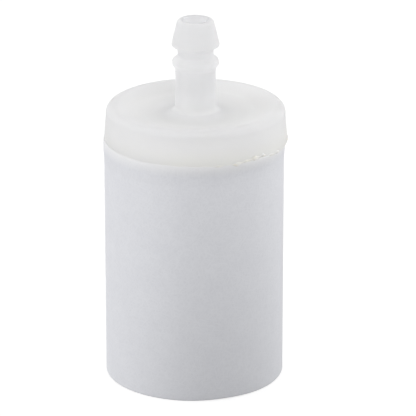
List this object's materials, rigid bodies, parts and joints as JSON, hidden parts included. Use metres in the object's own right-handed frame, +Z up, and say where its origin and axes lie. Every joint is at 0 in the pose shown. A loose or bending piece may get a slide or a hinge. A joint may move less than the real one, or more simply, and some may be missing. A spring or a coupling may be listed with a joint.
{
  "type": "fuel filter",
  "caption": "In-tank fuel filter for a small engine: a white fabric-wrapped felt cylinder under a translucent moulded head with a barbed hose nipple.",
  "frame": {"origin": "centre of the flat base that the filter stands on", "axes": "+Z up the body's axis and out through the hose nipple; X and Y are free, because the outside is turned about Z"},
  "size_m": [0.0204, 0.0204, 0.0413],
  "materials": {
    "natural_nylon": "satin, translucent",
    "white_polypropylene": "satin",
    "spunbond_polyester": "matt, fine non-woven",
    "polyester_felt": "matt felt",
    "hot_melt": "soft gloss, translucent",
    "zinc_plated_steel": "zinc plated"
  },
  "bodies": {
    "root": {"head": "natural_nylon", "head_potting": "hot_melt", "outer_wrap": "spunbond_polyester", "felt_roll": "polyester_felt", "core_cage": "white_polypropylene", "base_cup": "white_polypropylene", "base_potting": "hot_melt", "ballast_ring": "zinc_plated_steel"}
  },
  "joints": []
}
